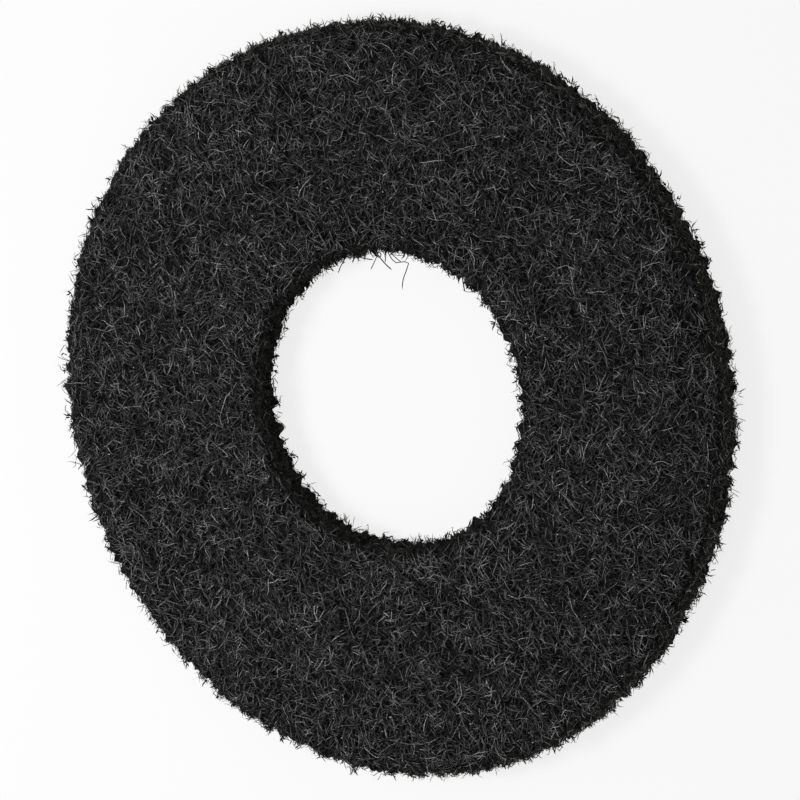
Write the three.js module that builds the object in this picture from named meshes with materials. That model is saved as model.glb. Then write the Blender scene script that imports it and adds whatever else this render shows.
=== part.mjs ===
// A floor pad: one thick ring of lofty, needled web, die-cut with a round centre hole.
// Millimetres, +Z up. The pad lies on its lower face at z = 0, with its axis on the Z axis.
import * as THREE from 'three';

// Driving dimensions.
const padDiameter = 203;     // across the cut rim, 8 in
const holeDiameter = 82.5;   // centre hole, 3 1/4 in
const thickness = 10;        // between the two working faces
const crushedEdge = 1.2;     // how far the die presses each cut edge in and over
const rimLobe = 0.6;         // how far the rim strays from round, in its lobes
const holeLobe = 0.35;       // how far the hole strays from round, in its lobes
const cutRoughness = 0.5;    // how far the cut fibre ends stand back on the two walls
const poreDepth = 1.4;       // deepest pore between the fibres on the two faces
const webPitch = 4;          // spacing of the web's relief, the same in every direction

// Counts and shares, which have no length.
const rimLobes = 3;
const holeLobes = 4;
const rimLobeTurn = THREE.MathUtils.degToRad(52);
const holeLobeTurn = THREE.MathUtils.degToRad(31);
const poreShare = 0.42;      // share of the relief's points that are pores
const shallowestPore = 0.45; // as a share of the deepest
const straying = 0.22;       // how far a point strays from its place, in spacings

const rimRadius = padDiameter / 2;
const holeRadius = holeDiameter / 2;
const faceWidth = rimRadius - holeRadius - 2 * crushedEdge;
const wallHeight = thickness - 2 * crushedEdge;
const faceSteps = Math.max(2, Math.round(faceWidth / webPitch));
const wallSteps = Math.max(1, Math.round(wallHeight / webPitch));

// Repeatable random numbers from 0 to 1: every build gives the same web.
const randomModulus = 2147483647;
const randomFactor = 16807;
let randomState = 20113;
function random() {
  randomState = (randomState * randomFactor) % randomModulus;
  return randomState / randomModulus;
}

// A random number from -1 to 1.
function stray() {
  return 2 * random() - 1;
}

// The rim and the hole as they were cut, a little out of round.
function cutRim(angle) {
  return rimRadius + rimLobe * Math.cos(rimLobes * (angle - rimLobeTurn));
}

function cutHole(angle) {
  return holeRadius + holeLobe * Math.cos(holeLobes * (angle - holeLobeTurn));
}

// One turn round the section, as rings: out along the lower face, up the rim, in along the
// upper face, down the hole's wall. A face ring keeps its share of the way from hole to rim.
function sectionRings() {
  const rings = [];
  const addFaceRing = (face, across) => {
    const radius = holeRadius + crushedEdge + faceWidth * across;
    rings.push({ face, across, radius });
  };
  const addWallRing = (wall, radius, share) => {
    rings.push({ wall, radius, height: crushedEdge + wallHeight * share });
  };
  for (let step = 0; step <= faceSteps; step += 1) addFaceRing('lower', step / faceSteps);
  for (let step = 0; step <= wallSteps; step += 1) addWallRing('rim', rimRadius, step / wallSteps);
  for (let step = faceSteps; step >= 0; step -= 1) addFaceRing('upper', step / faceSteps);
  for (let step = wallSteps; step >= 0; step -= 1) addWallRing('hole', holeRadius, step / wallSteps);
  return rings;
}

// A point of a face: on the face's plane, or sunk where a pore opens between the fibres.
function facePoint(ring, angle) {
  const alongEdge = ring.across === 0 || ring.across === 1;
  const low = cutHole(angle) + crushedEdge;
  const high = cutRim(angle) - crushedEdge;
  const reach = alongEdge ? cutRoughness : straying * (high - low) / faceSteps;
  const radius = low + (high - low) * ring.across + reach * stray();
  const depth = poreDepth * THREE.MathUtils.lerp(shallowestPore, 1, random());
  const isPore = random() < poreShare && !alongEdge;
  const sunk = isPore ? depth : 0;
  return { radius, z: ring.face === 'upper' ? thickness - sunk : sunk };
}

// A point of a cut wall: the fibre ends stand back from the die's line by different amounts.
function wallPoint(ring, angle) {
  const back = cutRoughness * random();
  const radius = ring.wall === 'rim' ? cutRim(angle) - back : cutHole(angle) + back;
  return { radius, z: ring.height };
}

// The points of one ring, a web pitch apart. Every second ring is turned by half a pitch.
function ringPoints(ring, ringNumber) {
  const count = Math.round(2 * Math.PI * ring.radius / webPitch);
  const halfPitch = ringNumber % 2 ? 0.5 : 0;
  const points = [];
  for (let step = 0; step < count; step += 1) {
    const angle = 2 * Math.PI * (step + halfPitch + straying * stray()) / count;
    const { radius, z } = ring.face ? facePoint(ring, angle) : wallPoint(ring, angle);
    points.push(new THREE.Vector3(radius * Math.cos(angle), radius * Math.sin(angle), z));
  }
  return points;
}

// The band of triangles between two rings whose points need not be as many: it walks round
// both at once, and each triangle takes the shorter of the two ways across.
function stitch(ring, nextRing, addTriangle) {
  let here = 0;
  let next = 0;
  while (here < ring.length || next < nextRing.length) {
    const a = ring[here % ring.length];
    const b = nextRing[next % nextRing.length];
    const afterA = ring[(here + 1) % ring.length];
    const afterB = nextRing[(next + 1) % nextRing.length];
    const shorterHere = afterA.distanceTo(b) < a.distanceTo(afterB);
    if (next === nextRing.length || (shorterHere && here < ring.length)) {
      addTriangle(a, afterA, b);
      here += 1;
    } else {
      addTriangle(a, afterB, b);
      next += 1;
    }
  }
}

// The closed skin of the pad, from rings of points stitched together all round the section.
function padGeometry() {
  const rings = sectionRings().map(ringPoints);
  const points = rings.flat();
  const numberOf = new Map(points.map((point, number) => [point, number]));
  const positions = points.flatMap((point) => point.toArray());
  const triangles = [];
  const addTriangle = (...corners) => triangles.push(...corners.map((corner) => numberOf.get(corner)));
  rings.forEach((ring, place) => stitch(ring, rings[(place + 1) % rings.length], addTriangle));

  const geometry = new THREE.BufferGeometry();
  geometry.setAttribute('position', new THREE.Float32BufferAttribute(positions, 3));
  geometry.setIndex(triangles);
  geometry.computeVertexNormals();
  return geometry;
}

const blackWeb = new THREE.MeshStandardMaterial({ color: 0x2a2a2a, roughness: 0.95, metalness: 0 });

const pad = new THREE.Mesh(padGeometry(), blackWeb);
pad.name = 'pad_ring';

const floorPad = new THREE.Group();
floorPad.add(pad);

export default floorPad;
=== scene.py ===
import math
import bpy
import numpy as np
from mathutils import Matrix, Vector


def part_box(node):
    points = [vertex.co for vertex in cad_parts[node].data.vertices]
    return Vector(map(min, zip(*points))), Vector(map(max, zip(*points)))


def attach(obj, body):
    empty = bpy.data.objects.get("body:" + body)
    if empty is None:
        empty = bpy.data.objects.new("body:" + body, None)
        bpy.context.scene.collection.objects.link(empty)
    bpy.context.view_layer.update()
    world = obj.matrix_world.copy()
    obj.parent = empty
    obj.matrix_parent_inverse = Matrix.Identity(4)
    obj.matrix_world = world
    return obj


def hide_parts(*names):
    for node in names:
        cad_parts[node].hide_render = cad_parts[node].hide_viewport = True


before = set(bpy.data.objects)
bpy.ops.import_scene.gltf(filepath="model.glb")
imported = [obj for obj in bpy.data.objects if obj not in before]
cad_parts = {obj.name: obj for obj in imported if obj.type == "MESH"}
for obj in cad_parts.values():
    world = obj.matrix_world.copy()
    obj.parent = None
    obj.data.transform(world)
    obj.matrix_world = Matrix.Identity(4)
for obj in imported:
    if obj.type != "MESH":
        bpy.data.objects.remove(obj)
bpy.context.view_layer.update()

# The cut ring.
# The pad is a ring die-cut from a thick needled web. Its faces, rim and hole are read from
# the frame's solid, so that every fibre laid below ends where the die cut it.
MIDDLE_SHARE = 0.25
LOBES = 6
ring_low, ring_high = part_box("pad_ring")
ring_thickness = ring_high.z - ring_low.z
middle_height = (ring_low.z + ring_high.z) / 2
ring_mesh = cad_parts["pad_ring"].data
ring_points = np.empty(len(ring_mesh.vertices) * 3)
ring_mesh.vertices.foreach_get("co", ring_points)
ring_points = ring_points.reshape(-1, 3)
ring_radii = np.hypot(ring_points[:, 0], ring_points[:, 1])
ring_angles = np.arctan2(ring_points[:, 1], ring_points[:, 0])
middle_radius = (ring_radii.min() + ring_radii.max()) / 2
on_walls = np.abs(ring_points[:, 2] / ring_thickness - 0.5) < MIDDLE_SHARE


def lobe_terms(angle):
    """The waves by which a cut may stray from round, up to LOBES of them in a turn."""
    waves = [np.ones_like(angle)]
    for lobes in range(1, LOBES + 1):
        waves += [np.cos(lobes * angle), np.sin(lobes * angle)]
    return np.stack(waves, -1)


def fitted_cut(chosen):
    """How much of each wave the solid's wall has."""
    return np.linalg.lstsq(lobe_terms(ring_angles[chosen]), ring_radii[chosen], rcond=None)[0]


rim_waves = fitted_cut(on_walls & (ring_radii > middle_radius))
hole_waves = fitted_cut(on_walls & (ring_radii < middle_radius))
rim_radius = rim_waves[0]
hole_radius = hole_waves[0]


def rim_at(angle):
    """Radius of the cut rim at an angle."""
    return lobe_terms(angle) @ rim_waves


def hole_at(angle):
    """Radius of the cut hole at an angle."""
    return lobe_terms(angle) @ hole_waves


# The middle of the web.
# Deep inside, the fibres lie so close, and so full of resin and grit, that no one fibre can be
# This body fills the ring to just under its faces, and its walls stand a
# little beyond the die's line and wander with the tufts that the cut left. Its near-black colour
# is painted shade: the shade in the deep gaps between the fibres of the faces.
MM = 0.001
CORE_UNDER_FACE = 1.3 * MM
CORE_BEYOND_RIM = 0.3 * MM
CORE_BEYOND_HOLE = 0.55 * MM
CORE_CORNER = 0.6 * MM
CORE_FACE_STEP = 10 * MM
CORE_WALL_STEP = 0.8 * MM
CORE_TURN_STEP = 0.8 * MM
CORNER_STEPS = 3
TUFT_REACH = 0.58 * MM
TUFT_SPAN = 3.2 * MM


class Ripple:
    """Smooth, repeatable unevenness through space: many waves that cross it in all directions."""

    def __init__(self, seed, span, waves=24, spread=0.5):
        draw = np.random.default_rng(seed)
        ways = draw.normal(size=(waves, 3))
        ways /= np.linalg.norm(ways, axis=1, keepdims=True)
        length = span * draw.uniform(1 - spread, 1 + spread, waves)
        self.waves = math.tau * ways / length[:, None]
        self.shift = draw.uniform(0, math.tau, waves)
        self.size = math.sqrt(2 / waves)

    def at(self, places):
        """Unevenness at each place: 0 on average, and mostly between -1 and 1."""
        return np.sin(places @ self.waves.T + self.shift).sum(-1) * self.size


tufts = Ripple(seed=11, span=TUFT_SPAN)


def section_of_core():
    """Shares of the way from hole to rim, and heights, all round the core's section."""
    width = rim_radius - hole_radius + CORE_BEYOND_RIM + CORE_BEYOND_HOLE
    height = ring_thickness - 2 * CORE_UNDER_FACE
    flat = width - 2 * CORE_CORNER
    upright = height - 2 * CORE_CORNER
    outline = []
    corners = [(1, 0, -90, CORE_WALL_STEP), (1, 1, 0, CORE_FACE_STEP),
               (0, 1, 90, CORE_WALL_STEP), (0, 0, 180, CORE_FACE_STEP)]
    for outer, upper, first_turn, step in corners:
        for place in range(CORNER_STEPS + 1):
            turn = math.radians(first_turn + 90 * place / CORNER_STEPS)
            outline.append((CORE_CORNER * (1 + math.cos(turn)) + flat * outer,
                            CORE_CORNER * (1 + math.sin(turn)) + upright * upper))
        run = upright if step == CORE_WALL_STEP else flat
        steps = int(run / step)
        ahead = (-math.sin(turn), math.cos(turn))
        for place in range(1, steps):
            across, up = outline[-1]
            outline.append((across + ahead[0] * run / steps, up + ahead[1] * run / steps))
    across, up = np.array(outline).T
    return across / width, up + CORE_UNDER_FACE


def around_axis(radius, angle, height):
    """Places at a radius and an angle about the pad's axis."""
    return np.stack([radius * np.cos(angle), radius * np.sin(angle), height], -1)


def tufted_rim(angle, height):
    """Radius of the core's outer wall, tufts and all."""
    line = rim_at(angle)
    return line + CORE_BEYOND_RIM + TUFT_REACH * tufts.at(around_axis(line, angle, height))


def tufted_hole(angle, height):
    """Radius of the core's inner wall, tufts and all."""
    line = hole_at(angle)
    return line - CORE_BEYOND_HOLE - TUFT_REACH * tufts.at(around_axis(line, angle, height))


def in_scene(name, data):
    """A new object that holds the data, in the scene."""
    made = bpy.data.objects.new(name, data)
    bpy.context.scene.collection.objects.link(made)
    return made


def finished_mesh(name, vertices, faces):
    """A smooth-shaded mesh object of that name, in the scene."""
    mesh = bpy.data.meshes.new(name)
    mesh.from_pydata(vertices.reshape(-1, 3), [], faces.reshape(-1, faces.shape[-1]))
    mesh.shade_smooth()
    return in_scene(name, mesh)


core_across, core_up = section_of_core()
core_turns = int(math.tau * rim_radius / CORE_TURN_STEP)
core_angle = np.linspace(0, math.tau, core_turns, endpoint=False)
grid_angle, grid_across = np.meshgrid(core_angle, core_across, indexing="ij")
grid_up = np.broadcast_to(core_up, grid_angle.shape)
core_low = tufted_hole(grid_angle, grid_up)
core_high = tufted_rim(grid_angle, grid_up)
core_radius = core_low + (core_high - core_low) * grid_across
core_vertices = around_axis(core_radius, grid_angle, grid_up)
number = np.arange(core_vertices.size // 3).reshape(grid_angle.shape)
next_turn = np.roll(number, -1, axis=0)
core_faces = np.stack([number, next_turn, np.roll(next_turn, -1, axis=1),
                       np.roll(number, -1, axis=1)], -1)
web_core = finished_mesh("web_core", core_vertices, core_faces)

MIDWAY = 0.5
LINE_STRETCH = 0.4
LINE_PITCH = (0.75 * MM, 0.95 * MM, 0.85 * MM, 1.1 * MM)
LINE_THINNESS = 0.07
# Painted shade: the core is near black, for the deep gaps between the fibres lie in shade.
DEEP_SHADE_TONE = ((0.0, 0.0015), (1.0, (0.022, 0.022, 0.021)))
DEEP_PATCH_SCALE = 420
DEEP_PATCH_LIGHT = ((0.35, 0.35), (0.65, 1.3))
WALL_DEPTH = 1.8 * MM
# The core is darkest, as painted shade, where it lies under the fibres of the faces; on its cut walls
# it is up to 2.2 times lighter and olive.
WALL_LIGHT = ((0.0, (2.2, 2.2, 1.9)), (0.2, 1.0))


def new_material(name, roughness, specular):
    """A material with one shader, whose even numbers are set on the shader itself."""
    material = bpy.data.materials.new(name)
    material.use_nodes = True
    shader = material.node_tree.nodes["Principled BSDF"]
    shader.inputs["Roughness"].default_value = roughness
    shader.inputs["Specular IOR Level"].default_value = specular
    return material, shader


def add_node(material, kind, **values):
    """A node in the material, with its input sockets set by name."""
    node = material.node_tree.nodes.new(kind)
    for socket, value in values.items():
        node.inputs[socket.replace("_", " ")].default_value = value
    return node


def join(material, output, *inputs):
    """Leads one output socket to each input socket."""
    for socket in inputs:
        material.node_tree.links.new(output, socket)


def colour_ramp(material, factor, stops):
    """A ramp between stops of a place and a grey or colour, led by a factor. Returns its colour."""
    ramp = add_node(material, "ShaderNodeValToRGB")
    join(material, factor, ramp.inputs["Fac"])
    elements = ramp.color_ramp.elements
    while len(elements) < len(stops):
        elements.new(MIDWAY)
    for element, (place, colour) in zip(elements, stops):
        element.position = place
        element.color = (*np.broadcast_to(colour, 3), 1)
    return ramp.outputs["Color"]


def blended(material, blend, *colours):
    """Several colours put together: MULTIPLY gives their product, LIGHTEN the lightest."""
    result = colours[0]
    for colour in colours[1:]:
        mix = add_node(material, "ShaderNodeMix")
        mix.data_type = "RGBA"
        mix.blend_type = blend
        mix.inputs["Factor"].default_value = 1
        join(material, result, mix.inputs["A"])
        join(material, colour, mix.inputs["B"])
        result = mix.outputs["Result"]
    return result


def nearness_to_face(material, place, depth):
    """1 on either face of the pad, falling to 0 at that depth under it."""
    parts = add_node(material, "ShaderNodeSeparateXYZ")
    join(material, place, parts.inputs[0])
    above_middle = add_node(material, "ShaderNodeMath")
    above_middle.operation = "SUBTRACT"
    above_middle.inputs[1].default_value = middle_height
    join(material, parts.outputs["Z"], above_middle.inputs[0])
    from_middle = add_node(material, "ShaderNodeMath")
    from_middle.operation = "ABSOLUTE"
    join(material, above_middle.outputs[0], from_middle.inputs[0])
    nearness = add_node(material, "ShaderNodeMapRange", From_Min=ring_thickness / 2 - depth,
                        From_Max=ring_thickness / 2)
    join(material, from_middle.outputs[0], nearness.inputs["Value"])
    return nearness.outputs[0]


def web_lines(material, place, seed, pitch, turn):
    """Fine fibres in one main direction: 1 along each line, 0 between the lines."""
    laid = add_node(material, "ShaderNodeMapping", Rotation=(0, 0, turn), Scale=(1, LINE_STRETCH, 1))
    join(material, place, laid.inputs["Vector"])
    waves = add_node(material, "ShaderNodeTexNoise")
    waves.noise_dimensions = "4D"
    waves.inputs["W"].default_value = seed
    waves.inputs["Scale"].default_value = 1 / pitch
    waves.inputs["Detail"].default_value = 1
    join(material, laid.outputs[0], waves.inputs["Vector"])
    line = ((MIDWAY - LINE_THINNESS, 0.0), (MIDWAY, 1.0), (MIDWAY + LINE_THINNESS, 0.0))
    return colour_ramp(material, waves.outputs["Fac"], line)


deep_web, deep_shader = new_material("deep_web", roughness=0.9, specular=0.06)
deep_place = add_node(deep_web, "ShaderNodeTexCoord").outputs["Object"]
deep_patches = add_node(deep_web, "ShaderNodeTexNoise", Scale=DEEP_PATCH_SCALE, Detail=2)
join(deep_web, deep_place, deep_patches.inputs["Vector"])
deep_lines = [web_lines(deep_web, deep_place, seed, pitch, math.pi * seed / len(LINE_PITCH))
              for seed, pitch in enumerate(LINE_PITCH)]
deep_relief = blended(deep_web, "LIGHTEN", *deep_lines)
deep_shade_tone = colour_ramp(deep_web, deep_relief, DEEP_SHADE_TONE)
deep_patch_light = colour_ramp(deep_web, deep_patches.outputs["Fac"], DEEP_PATCH_LIGHT)
wall_light = colour_ramp(deep_web, nearness_to_face(deep_web, deep_place, WALL_DEPTH), WALL_LIGHT)
deep_colour = blended(deep_web, "MULTIPLY", deep_shade_tone, deep_patch_light, wall_light)
join(deep_web, deep_colour, deep_shader.inputs["Base Color"])
deep_bump = add_node(deep_web, "ShaderNodeBump", Strength=0.8, Distance=0.2 * MM)
join(deep_web, deep_relief, deep_bump.inputs["Height"])
join(deep_web, deep_bump.outputs["Normal"], deep_shader.inputs["Normal"])
web_core.data.materials.append(deep_web)
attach(web_core, "root")
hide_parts("pad_ring")

# The fine fibres of the two faces.
# Crimped nylon fibres, laid at random in the plane of the web and stuck together with black
# resin. Each is a closed three-sided strand that bends as it goes and dives under its neighbours.
FIBRE_RADIUS = 0.1 * MM
THICKNESS_SHARES = (0.75, 1.25)
STRAND_SIDES = 3
FINE_POINTS = 4
FINE_LENGTH = (2.8 * MM, 6.5 * MM)
TRACE_POINTS = 13
FEWEST_STEPS = 2
CURL = 0.13 / MM
CRIMP_TURN = 0.32
CRIMP_SPAN = (3 * MM, 7 * MM)
DIVE = (0.1 * MM, 0.7 * MM)
FACE_DEPTH = 0.9 * MM
DEPTH_BIAS = 1.3
CUT_OVERSHOOT = 0.3 * MM
CUT_OVERSHOOT_MOST = 1.4 * MM
EDGE_FALL = 0.8 * MM
EDGE_SPAN = 1.8 * MM
PORE_DEPTH = 0.6 * MM
PORE_START = 0.5
PORE_SPAN = 5.2 * MM
UPPER_STRANDS = 14800
UPPER_LAYERS = 3
UPPER_SEED = 100
LOWER_STRANDS = 5500
LOWER_SEED = 200
pores = Ripple(seed=21, span=PORE_SPAN)


def trace(draw, start, heading, length, tilt, dive, curl=CURL):
    """Places along crimped fibres that set off from start and curl in the plane of the web."""
    count = len(start)
    along = np.linspace(0, 1, TRACE_POINTS) * length[:, None]
    crimp_span = draw.uniform(*CRIMP_SPAN, count)[:, None]
    crimp = CRIMP_TURN * np.sin(math.tau * (along / crimp_span + draw.random(count)[:, None]))
    turn = heading[:, None] + draw.normal(0, curl, count)[:, None] * along + crimp
    step = length / (TRACE_POINTS - 1)
    ahead = np.stack([np.cos(turn), np.sin(turn)], -1)[:, 1:] * step[:, None, None]
    plan = start[:, None, :2] + np.concatenate([np.zeros((count, 1, 2)), np.cumsum(ahead, 1)], 1)
    share = along / length[:, None]
    height = start[:, 2:] + tilt[:, None] * along - dive[:, None] * (2 * share - 1) ** 2
    return np.concatenate([plan, height[..., None]], -1)


def inside_cuts(places):
    """How far each place lies inside the nearer of the two cuts."""
    angle = np.arctan2(places[..., 1], places[..., 0])
    radius = np.hypot(places[..., 0], places[..., 1])
    return np.minimum(rim_at(angle) - radius, radius - hole_at(angle))


def press_edges(traces):
    """Presses the fibres towards the middle where the die has crushed the web's edges."""
    fall = EDGE_FALL * np.clip(1 - inside_cuts(traces) / EDGE_SPAN, 0, 1) ** 2
    highest = ring_high.z - FIBRE_RADIUS - fall
    lowest = ring_low.z + FIBRE_RADIUS + fall
    share = (highest - middle_height) / (ring_high.z - FIBRE_RADIUS - middle_height)
    traces[..., 2] = np.maximum(middle_height + (traces[..., 2] - middle_height) * share, lowest)
    return traces


def cut_to_ring(draw, traces, points):
    """Ends each trace where it leaves the ring, and keeps that many points of it."""
    over = np.minimum(draw.exponential(CUT_OVERSHOOT, len(traces)), CUT_OVERSHOOT_MOST)[:, None]
    angle = np.arctan2(traces[..., 1], traces[..., 0])
    radius = np.hypot(traces[..., 0], traces[..., 1])
    out_of_rim = radius - tufted_rim(angle, traces[..., 2])
    out_of_hole = tufted_hole(angle, traces[..., 2]) - radius
    inside = np.maximum(out_of_rim, out_of_hole) < over
    run = np.where(inside.all(1), TRACE_POINTS, np.argmin(inside, 1))
    kept = run > FEWEST_STEPS
    traces, run = traces[kept], run[kept]
    place = np.linspace(0, 1, points) * (run[:, None] - 1)
    before = np.minimum(place.astype(int), TRACE_POINTS - 2)
    share = (place - before)[..., None]
    low = np.take_along_axis(traces, before[..., None], 1)
    high = np.take_along_axis(traces, before[..., None] + 1, 1)
    return low + (high - low) * share


def strand_pattern(points):
    """Triangles of a strand along that many points, and their corners on the strand unrolled."""
    rings = points - 2
    last = 1 + rings * STRAND_SIDES
    triangles, unrolled = [], []

    def add(*corners):
        triangles.append([corner[0] for corner in corners])
        unrolled.append([corner[1:] for corner in corners])

    def corner(side, ring, right):
        number = 1 + ring * STRAND_SIDES + (side + right) % STRAND_SIDES
        return number, (side + right) / STRAND_SIDES, (ring + 1) / (points - 1)

    for side in range(STRAND_SIDES):
        middle = (side + MIDWAY) / STRAND_SIDES
        add((0, middle, 0), corner(side, 0, 1), corner(side, 0, 0))
        for ring in range(rings - 1):
            add(corner(side, ring, 0), corner(side, ring, 1), corner(side, ring + 1, 1))
            add(corner(side, ring, 0), corner(side, ring + 1, 1), corner(side, ring + 1, 0))
        add(corner(side, rings - 1, 0), corner(side, rings - 1, 1), (last, middle, 1))
    return np.array(triangles), np.array(unrolled)


def make_strands(draw, name, lines, radius):
    """One object of closed strands along the centre lines, each with its own place on the bake."""
    upright_least = 0.8
    count, points = lines.shape[:2]
    ahead = np.gradient(lines, axis=1)
    ahead /= np.linalg.norm(ahead, axis=2, keepdims=True)
    upright = np.abs(ahead[..., 2].mean(1)) > upright_least
    reference = np.where(upright[:, None], (1.0, 0.0, 0.0), (0.0, 0.0, 1.0))[:, None]
    side = np.cross(ahead, reference)
    side /= np.linalg.norm(side, axis=2, keepdims=True)
    top = np.cross(ahead, side)
    first_roll = draw.uniform(0, math.tau, count)[:, None]
    roll = (first_roll + math.tau * np.arange(STRAND_SIDES) / STRAND_SIDES)[:, None, :, None]
    around = np.cos(roll) * side[:, 1:-1, None] + np.sin(roll) * top[:, 1:-1, None]
    rings = lines[:, 1:-1, None] + around * radius[:, None, None, None]
    vertices = np.concatenate([lines[:, :1], rings.reshape(count, -1, 3), lines[:, -1:]], 1)
    triangles, unrolled = strand_pattern(points)
    faces = triangles + vertices.shape[1] * np.arange(count)[:, None, None]
    made = finished_mesh(name, vertices, faces)
    cells = math.ceil(math.sqrt(count))
    cell = np.stack(np.divmod(np.arange(count), cells), -1)[:, None, None]
    flat = (cell + unrolled) / cells
    made.data.uv_layers.new(name="OFBake").uv.foreach_set("vector", flat.ravel())
    return made


PATCH_SCALE = 85
PATCH_LIGHT = ((0.3, 0.6), (0.7, 1.2))
BLOTCH_SCALE = 2800
BLOTCH_LIGHT = ((0.36, 0.25), (0.64, 1.7))
COATED_SHADES = ((0.0, 0.03), (0.5, 0.12), (0.85, 0.22), (1.0, 0.45))


def web_material(name, shades, tint, buried_shade, depth):
    """Resin-coated fibre: light and dark strands, with painted shade that darkens each strand the
    deeper it lies under the nearer face, down to the given share at that depth.
    """
    material, shader = new_material(name, roughness=0.6, specular=0.12)
    place = add_node(material, "ShaderNodeTexCoord").outputs["Object"]
    strand = add_node(material, "ShaderNodeNewGeometry").outputs["Random Per Island"]
    patches = add_node(material, "ShaderNodeTexNoise", Scale=PATCH_SCALE, Detail=3)
    blotches = add_node(material, "ShaderNodeTexNoise", Scale=BLOTCH_SCALE, Detail=2)
    join(material, place, patches.inputs["Vector"], blotches.inputs["Vector"])
    # Painted shade: the deeper a strand lies under the face, the darker its colour.
    nearness = nearness_to_face(material, place, depth)
    own_shades = [(share, np.multiply(shade, tint)) for share, shade in shades]
    colour = blended(material, "MULTIPLY",
                     colour_ramp(material, strand, own_shades),
                     colour_ramp(material, patches.outputs["Fac"], PATCH_LIGHT),
                     colour_ramp(material, blotches.outputs["Fac"], BLOTCH_LIGHT),
                     colour_ramp(material, nearness, ((0.0, buried_shade), (1.0, 1.0))))
    join(material, colour, shader.inputs["Base Color"])
    bump = add_node(material, "ShaderNodeBump", Strength=0.5, Distance=0.08 * MM)
    join(material, blotches.outputs["Fac"], bump.inputs["Height"])
    join(material, bump.outputs["Normal"], shader.inputs["Normal"])
    return material


def lay_piece(draw, name, lines, thickness, material, shares=THICKNESS_SHARES):
    """Turns centre lines into a piece of the web and fixes it to the pad."""
    radius = thickness * draw.uniform(*shares, len(lines))
    piece = make_strands(draw, name, lines, radius)
    piece.data.materials.append(material)
    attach(piece, "root")


def scatter(draw, count):
    """A radius and an angle for each fibre, evenly over the ring, and its heading."""
    radius = np.sqrt(draw.uniform(hole_radius ** 2, rim_radius ** 2, count))
    angle = draw.uniform(0, math.tau, count)
    heading = draw.uniform(0, math.tau, count)
    return radius, angle, heading


def lay_face(name, seed, count, side, material):
    """Fine fibres under the upper face (side 1) or the lower one (side -1)."""
    draw = np.random.default_rng(seed)
    radius, angle, heading = scatter(draw, count)
    depth = FIBRE_RADIUS + FACE_DEPTH * draw.random(count) ** DEPTH_BIAS
    face = ring_high.z if side > 0 else ring_low.z
    start = around_axis(radius, angle, np.full(count, face))
    depth += PORE_DEPTH * np.clip(pores.at(start) - PORE_START, 0, 1)
    start[:, 2] -= side * depth
    dive = side * draw.uniform(*DIVE, count)
    length = draw.uniform(*FINE_LENGTH, count)
    traces = press_edges(trace(draw, start, heading, length, np.zeros(count), dive))
    lay_piece(draw, name, cut_to_ring(draw, traces, FINE_POINTS), FIBRE_RADIUS, material)


# Painted shade: strands a millimetre under the face keep only a twentieth of their colour.
coated_fibre = web_material("coated_fibre", COATED_SHADES, tint=(1, 1, 1), buried_shade=0.05, depth=1.05 * MM)
for layer in range(UPPER_LAYERS):
    lay_face(f"upper_fibres_{layer + 1}", UPPER_SEED + layer, UPPER_STRANDS, 1, coated_fibre)
lay_face("lower_fibres", LOWER_SEED, LOWER_STRANDS, -1, coated_fibre)

# The long fibres on top of the faces.
# Some of the crimped fibres run a long way over the others before they dive in again, and stand
# a little proud of the web as wide curls.
CURL_POINTS = 5
CURL_LENGTH = (4.5 * MM, 10 * MM)
CURL_SINK = (0.0 * MM, 0.45 * MM)
CURL_LIFT = (-0.35 * MM, 0.5 * MM)
CURL_TILT = 0.04
CURL_RADIUS = 0.095 * MM


def lay_curls(name, seed, count, side):
    """Long fibres over the upper face (side 1) or the lower one (side -1)."""
    draw = np.random.default_rng(seed)
    radius, angle, heading = scatter(draw, count)
    face = ring_high.z - CURL_RADIUS if side > 0 else ring_low.z + CURL_RADIUS
    height = face - side * draw.uniform(*CURL_SINK, count)
    tilt = draw.normal(0, CURL_TILT, count)
    dive = side * draw.uniform(*CURL_LIFT, count)
    length = draw.uniform(*CURL_LENGTH, count)
    traces = trace(draw, around_axis(radius, angle, height), heading, length, tilt, dive)
    traces[..., 2] = np.maximum(traces[..., 2], ring_low.z + CURL_RADIUS)
    lay_piece(draw, name, cut_to_ring(draw, traces, CURL_POINTS), CURL_RADIUS, coated_fibre)


lay_curls("upper_curls", seed=500, count=4000, side=1)
lay_curls("lower_curls", seed=510, count=700, side=-1)

# The cut rim and the cut hole.
# Here the die shows the web from its side: fibres that run along the cut, the ends of fibres
# that it went through, and the middle of the web, painted dark as shade, between them. The
# hole's fibres are a darker copy of the rim's, as painted shade of the hole, and all of them
# take a little painted shade away from the faces.
CUT_BAND = 0.55 * MM
CUT_LENGTH = (1.2 * MM, 3.6 * MM)
CUT_SWERVE = 0.4
CUT_TILT = 0.55
CUT_TINT = (1, 1, 0.93)
# Painted shade: cut fibres deep in the middle of a wall keep nine tenths of their colour.
CUT_BURIED_SHADE = 0.9
CUT_DEPTH = 2 * MM
RIM_SHADES = ((0.0, 0.08), (0.5, 0.12), (0.85, 0.18), (1.0, 0.27))
# Painted shade: the hole's fibres are the rim's made darker, as the hole lies in shade.
SHADED_HOLE_SHADES = ((0.0, 0.004), (0.5, 0.02), (0.85, 0.055), (1.0, 0.14))
rim_fibre = web_material("rim_fibre", RIM_SHADES, CUT_TINT, CUT_BURIED_SHADE, CUT_DEPTH)
shaded_hole_fibre = web_material("shaded_hole_fibre", SHADED_HOLE_SHADES, CUT_TINT, CUT_BURIED_SHADE, CUT_DEPTH)


def thinned(traces, points):
    """Keeps that many points of each trace, from end to end."""
    places = np.linspace(0, TRACE_POINTS - 1, points).round().astype(int)
    return traces[:, places]


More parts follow.
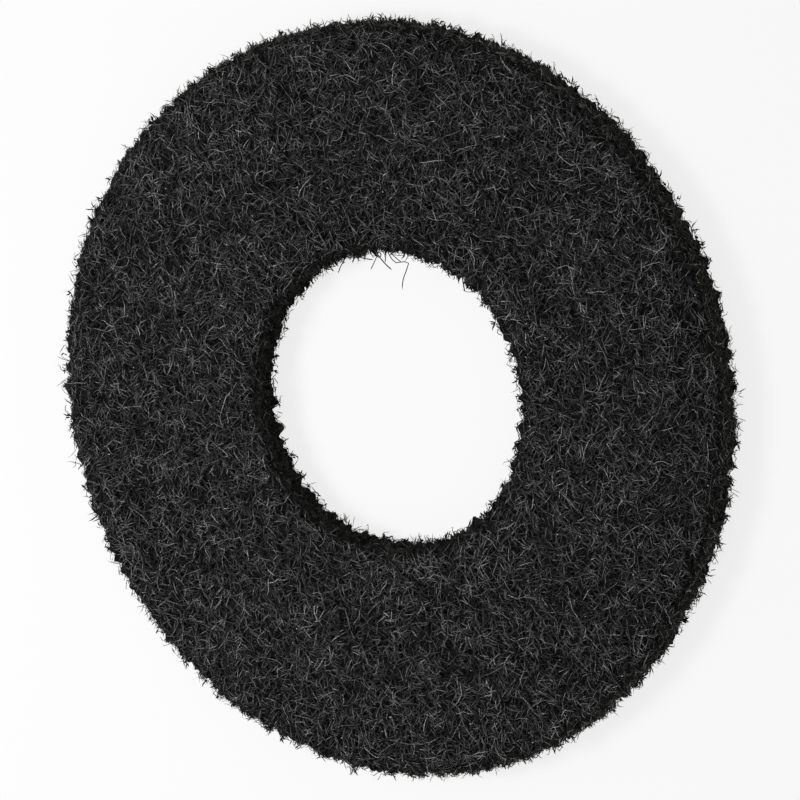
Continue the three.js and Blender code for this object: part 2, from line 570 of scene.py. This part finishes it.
def lay_cut(name, seed, count, tufted_cut, outwards, material):
    """Fibres that lie along a cut's tufted wall, over the whole thickness of the pad."""
    draw = np.random.default_rng(seed)
    angle = draw.uniform(0, math.tau, count)
    along_cut = math.pi * (draw.integers(0, 2, count) + 0.5)
    heading = angle + along_cut + draw.normal(0, CUT_SWERVE, count)
    height = draw.uniform(ring_low.z + 2 * FIBRE_RADIUS, ring_high.z - 2 * FIBRE_RADIUS, count)
    level = tufted_cut(angle, height)
    start = around_axis(level + outwards * CUT_BAND * draw.random(count), angle, height)
    length = draw.uniform(*CUT_LENGTH, count)
    tilt = draw.normal(0, CUT_TILT, count)
    traces = press_edges(trace(draw, start, heading, length, tilt, np.zeros(count)))
    passed = np.arctan2(traces[..., 1], traces[..., 0])
    follow = tufted_cut(passed, traces[..., 2]) - level[:, None]
    traces += around_axis(follow, passed, np.zeros(passed.shape))
    lay_piece(draw, name, thinned(traces, FINE_POINTS), FIBRE_RADIUS, material)


lay_cut("rim_fibres", seed=300, count=6500, tufted_cut=tufted_rim, outwards=1, material=rim_fibre)
lay_cut("hole_fibres", seed=400, count=2700, tufted_cut=tufted_hole, outwards=-1, material=shaded_hole_fibre)

# The fringe of the two cuts.
# Fibre ends that sprang back after the cut and stand out of it, alone or in small tufts that
# fan out from one root.
FRINGE_ROOT = 0.3 * MM
FRINGE_LENGTH = 0.55 * MM
FRINGE_LENGTH_LEAST = 0.9 * MM
FRINGE_LENGTH_MOST = 3.6 * MM
FRINGE_FAN = 0.8
FRINGE_TILT = 0.28
FRINGE_CURL = 0.5 / MM
FRINGE_RADIUS = 0.16 * MM
FRINGE_SHARES = (0.55, 1.6)
FRINGE_POINTS = 4
FRINGE_SPARSE = 0.6
TUFT_ENDS = 4
LOOSE_SHADES = ((0.0, 0.005), (0.6, 0.015), (1.0, 0.08))
loose_end = web_material("loose_end", LOOSE_SHADES, CUT_TINT, CUT_BURIED_SHADE, CUT_DEPTH)


def lay_fringe(name, seed, roots, tufted_cut, outwards):
    """Loose ends round a cut, in fans of up to TUFT_ENDS from each root on a proud tuft."""
    draw = np.random.default_rng(seed)
    angle = draw.uniform(0, math.tau, roots)
    height = draw.uniform(ring_low.z + EDGE_FALL / 2, ring_high.z - EDGE_FALL / 2, roots)
    proud = tufts.at(around_axis(tufted_cut(angle, height), angle, height))
    sprung = proud > draw.normal(0, FRINGE_SPARSE, roots)
    ends = np.where(sprung, draw.integers(1, TUFT_ENDS + 1, roots), 0)
    angle = np.repeat(angle, ends)
    height = np.repeat(height, ends)
    count = len(angle)
    start = around_axis(tufted_cut(angle, height) - outwards * FRINGE_ROOT, angle, height)
    heading = angle + (0 if outwards > 0 else math.pi) + draw.normal(0, FRINGE_FAN, count)
    length = FRINGE_LENGTH_LEAST + draw.exponential(FRINGE_LENGTH, count)
    length = np.minimum(length, FRINGE_LENGTH_MOST)
    tilt = draw.normal(0, FRINGE_TILT, count)
    traces = trace(draw, start, heading, length, tilt, np.zeros(count), FRINGE_CURL)
    traces[..., 2] = np.maximum(traces[..., 2], ring_low.z + FRINGE_RADIUS * FRINGE_SHARES[1])
    lay_piece(draw, name, thinned(traces, FRINGE_POINTS), FRINGE_RADIUS, loose_end, FRINGE_SHARES)


lay_fringe("rim_fringe", seed=600, roots=3800, tufted_cut=tufted_rim, outwards=1)
lay_fringe("hole_fringe", seed=610, roots=1600, tufted_cut=tufted_hole, outwards=-1)

# The stray hairs in the hole.
# A few long fibres were pulled out of the web when the centre was punched. They stand out into
# the hole near the upper face. Each is given by its angle on the hole, and by how far it leans
# from straight in, in degrees, at so many millimetres along it.
STRAY_SEED = 700
STRAY_DEPTH = 1.6 * MM
STRAY_POINTS = 14
STRAY_RADIUS = 0.17 * MM
STRAY_ROOT = 0.3 * MM
STRAY_HAIRS = [
    (-18, [(0, 25), (3, 28), (5, 55), (6.1, 100), (8.5, 98), (9.5, 50), (10.3, -20), (13, -25),
           (17, -2)]),
    (-2.5, [(0, -45), (4, -52), (7.5, -35)]),
    (-5.5, [(0, -30), (4, -34)]),
    (-3, [(0, 5), (3, 62), (7.4, 74)]),
    (-13, [(0, 15), (3.8, 38), (8, 50)]),
    (-15.5, [(0, -15), (3, -30), (7, -32)]),
    (-18.5, [(0, -10), (4, -5)]),
    (-17.5, [(0, 45), (6.4, 58)]),
    (-14.5, [(0, 0), (2, -25), (6, 300), (7, 330)]),
    (-52, [(0, 35), (4, 50)]),
    (9, [(0, 0), (4, 22)]),
]


def stray_line(angle, leans):
    """Centre line of one stray hair, rooted a little way inside the web."""
    along, lean = np.array(leans).T
    steps = np.linspace(0, along[-1] * MM + STRAY_ROOT, STRAY_POINTS)
    lean_here = np.radians(np.interp((steps - STRAY_ROOT) / MM, along, lean))
    heading = math.radians(angle) + math.pi + lean_here
    ahead = np.stack([np.cos(heading), np.sin(heading), 0 * heading], -1)[1:] * steps[1]
    root_radius = hole_at(math.radians(angle)) + STRAY_ROOT
    root = around_axis(root_radius, math.radians(angle), ring_high.z - STRAY_DEPTH)
    return root + np.concatenate([np.zeros((1, 3)), np.cumsum(ahead, 0)])


stray_lines = np.array([stray_line(angle, leans) for angle, leans in STRAY_HAIRS])
lay_piece(np.random.default_rng(STRAY_SEED), "stray_hairs", stray_lines, STRAY_RADIUS, loose_end)

# The grit.
# Grains of abrasive mineral, stuck to the fibres with the resin. Most are as dark as the web,
# and those with a clean facet glint.
GRIT_SIZE = (0.1 * MM, 0.22 * MM)
GRIT_DEPTH = 0.35 * MM
GRAIN_UNEVEN = 0.35
GRAIN_CORNERS = np.array([(1, 0, 0), (-1, 0, 0), (0, 1, 0), (0, -1, 0), (0, 0, 1), (0, 0, -1)], float)
GRAIN_FACES = np.array([(0, 2, 4), (2, 1, 4), (1, 3, 4), (3, 0, 4),
                        (2, 0, 5), (1, 2, 5), (3, 1, 5), (0, 3, 5)])
GRAIN_SHADES = ((0.0, 0.05), (0.6, 0.25), (1.0, 0.85))
mineral, mineral_shader = new_material("mineral", roughness=0.3, specular=0.5)
grain = add_node(mineral, "ShaderNodeNewGeometry").outputs["Random Per Island"]
join(mineral, colour_ramp(mineral, grain, GRAIN_SHADES), mineral_shader.inputs["Base Color"])


def lay_grit(name, seed, count, side):
    """Grains among the fibres of the upper face (side 1) or the lower one (side -1)."""
    draw = np.random.default_rng(seed)
    nearest = hole_radius + EDGE_FALL
    farthest = rim_radius - EDGE_FALL
    radius = np.sqrt(draw.uniform(nearest ** 2, farthest ** 2, count))
    angle = draw.uniform(0, math.tau, count)
    size = draw.uniform(*GRIT_SIZE, count)
    face = ring_high.z if side > 0 else ring_low.z
    centre = around_axis(radius, angle, face - side * (size + GRIT_DEPTH * draw.random(count)))
    stretch = draw.uniform(1 - GRAIN_UNEVEN, 1 + GRAIN_UNEVEN, (count, len(GRAIN_CORNERS), 1))
    axes = np.linalg.qr(draw.normal(size=(count, 3, 3)))[0]
    axes *= np.linalg.det(axes)[:, None, None]
    grains = centre[:, None] + GRAIN_CORNERS * stretch @ axes * size[:, None, None]
    faces = GRAIN_FACES + len(GRAIN_CORNERS) * np.arange(count)[:, None, None]
    piece = finished_mesh(name, grains, faces)
    piece.data.shade_flat()
    piece.data.materials.append(mineral)
    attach(piece, "root")


lay_grit("upper_grit", seed=800, count=900, side=1)
lay_grit("lower_grit", seed=810, count=300, side=-1)

# The floor and the light.
# A plain pale floor, which the camera sees as white where no shadow falls, a wide soft lamp
# beyond the pad, and an even sky, which the camera sees as white too.
FLOOR_SIZE = 12
FLOOR_GREY = 0.85
FLOOR_SHADOW_SHARE = 0.2
SKY_STRENGTH = 0.4
KEY_PLACE = Vector((0.13, 0.5, 0.6))
KEY_SIZE = 0.3
KEY_ENERGY = 4.5
floor_corners = FLOOR_SIZE / 2 * np.array([(-1, -1, 0), (1, -1, 0), (1, 1, 0), (-1, 1, 0)])
floor = finished_mesh("floor", floor_corners, np.array([(0, 1, 2, 3)]))
floor_material, floor_shader = new_material("pale_floor", roughness=0.9, specular=0.1)
floor_shader.inputs["Base Color"].default_value = (FLOOR_GREY, FLOOR_GREY, FLOOR_GREY, 1)
floor_white = add_node(floor_material, "ShaderNodeEmission")
floor_seen = add_node(floor_material, "ShaderNodeLightPath")
white_share = add_node(floor_material, "ShaderNodeMath")
white_share.operation = "MULTIPLY"
white_share.inputs[1].default_value = 1 - FLOOR_SHADOW_SHARE
join(floor_material, floor_seen.outputs["Is Camera Ray"], white_share.inputs[0])
floor_mix = add_node(floor_material, "ShaderNodeMixShader")
join(floor_material, white_share.outputs[0], floor_mix.inputs["Fac"])
join(floor_material, floor_shader.outputs["BSDF"], floor_mix.inputs[1])
join(floor_material, floor_white.outputs["Emission"], floor_mix.inputs[2])
floor_output = floor_material.node_tree.nodes["Material Output"]
join(floor_material, floor_mix.outputs["Shader"], floor_output.inputs["Surface"])
floor.data.materials.append(floor_material)

world = bpy.data.worlds.new("even_sky")
bpy.context.scene.world = world
world.use_nodes = True
sky = world.node_tree.nodes["Background"]
sky.inputs["Color"].default_value = (1, 1, 1, 1)
sky_seen = add_node(world, "ShaderNodeLightPath")
sky_strength = add_node(world, "ShaderNodeMapRange", To_Min=SKY_STRENGTH, To_Max=1)
join(world, sky_seen.outputs["Is Camera Ray"], sky_strength.inputs["Value"])
join(world, sky_strength.outputs["Result"], sky.inputs["Strength"])

key_light = bpy.data.lights.new("key", "AREA")
key_light.shape = "DISK"
key_light.size = KEY_SIZE
key_light.energy = KEY_ENERGY
key = in_scene("key", key_light)
key.location = KEY_PLACE
key.rotation_mode = "QUATERNION"
key.rotation_quaternion = (-KEY_PLACE).to_track_quat("-Z", "Y")

# The view of the photograph.
# The pad is seen from above and to one side, through a long lens turned on its side, so that
# the near rim stands at the right of the picture.
VIEW_HEIGHT = math.radians(58.32)
VIEW_ROLL = math.radians(-107.04)
VIEW_DISTANCE = 24.84 * rim_radius
VIEW_OFFSET = (-0.01024 * rim_radius, 0.00659 * rim_radius)
VIEW_FAR = 50
SENSOR_WIDTH = 36
RIM_PIXELS = 376.76
PICTURE_PIXELS = 800
camera_data = bpy.data.cameras.new("view")
camera_data.sensor_width = SENSOR_WIDTH
camera_data.lens = SENSOR_WIDTH * (RIM_PIXELS / PICTURE_PIXELS) * VIEW_DISTANCE / rim_radius
camera_data.clip_end = VIEW_FAR
camera = in_scene("view", camera_data)
bpy.context.scene.camera = camera
back = Vector((0, -math.cos(VIEW_HEIGHT), math.sin(VIEW_HEIGHT)))
level_right = Vector((1, 0, 0))
level_up = back.cross(level_right)
right = math.cos(VIEW_ROLL) * level_right + math.sin(VIEW_ROLL) * level_up
up = -math.sin(VIEW_ROLL) * level_right + math.cos(VIEW_ROLL) * level_up
pad_middle = Vector((0, 0, middle_height))
camera_place = pad_middle + back * VIEW_DISTANCE - right * VIEW_OFFSET[0] - up * VIEW_OFFSET[1]
camera.matrix_world = Matrix.Translation(camera_place) @ Matrix((right, up, back)).transposed().to_4x4()

bpy.context.scene.view_settings.view_transform = "Standard"
